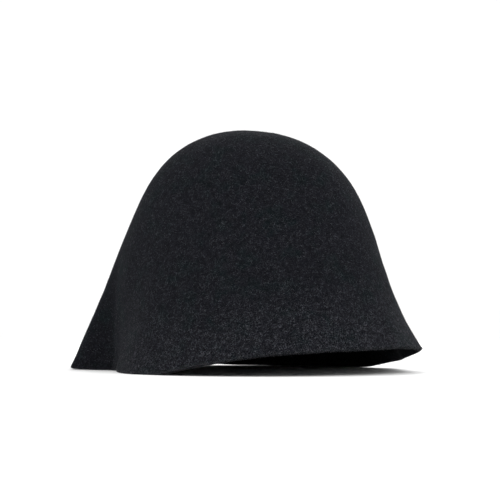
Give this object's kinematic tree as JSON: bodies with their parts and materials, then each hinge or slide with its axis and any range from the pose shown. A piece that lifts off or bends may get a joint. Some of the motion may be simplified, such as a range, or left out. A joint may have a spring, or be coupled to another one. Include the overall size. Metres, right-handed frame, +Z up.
{
  "type": "felt cloche hat",
  "caption": "Soft bell-shaped hat moulded from one piece of wool felt, with a round crown, a rim that flares at the front and a deep fold at the nape.",
  "frame": {"origin": "middle of the hat's footprint, on the surface that its rim stands on", "axes": "+Z up through the crown, -Y towards the front of the hat, +X towards the wearer's left"},
  "size_m": [0.2486, 0.2862, 0.181],
  "materials": {
    "wool_felt": "matt charcoal wool felt with a heathered mix of lighter fibres, raw cut edge"
  },
  "bodies": {
    "root": {"felt_body": "wool_felt"}
  },
  "joints": []
}
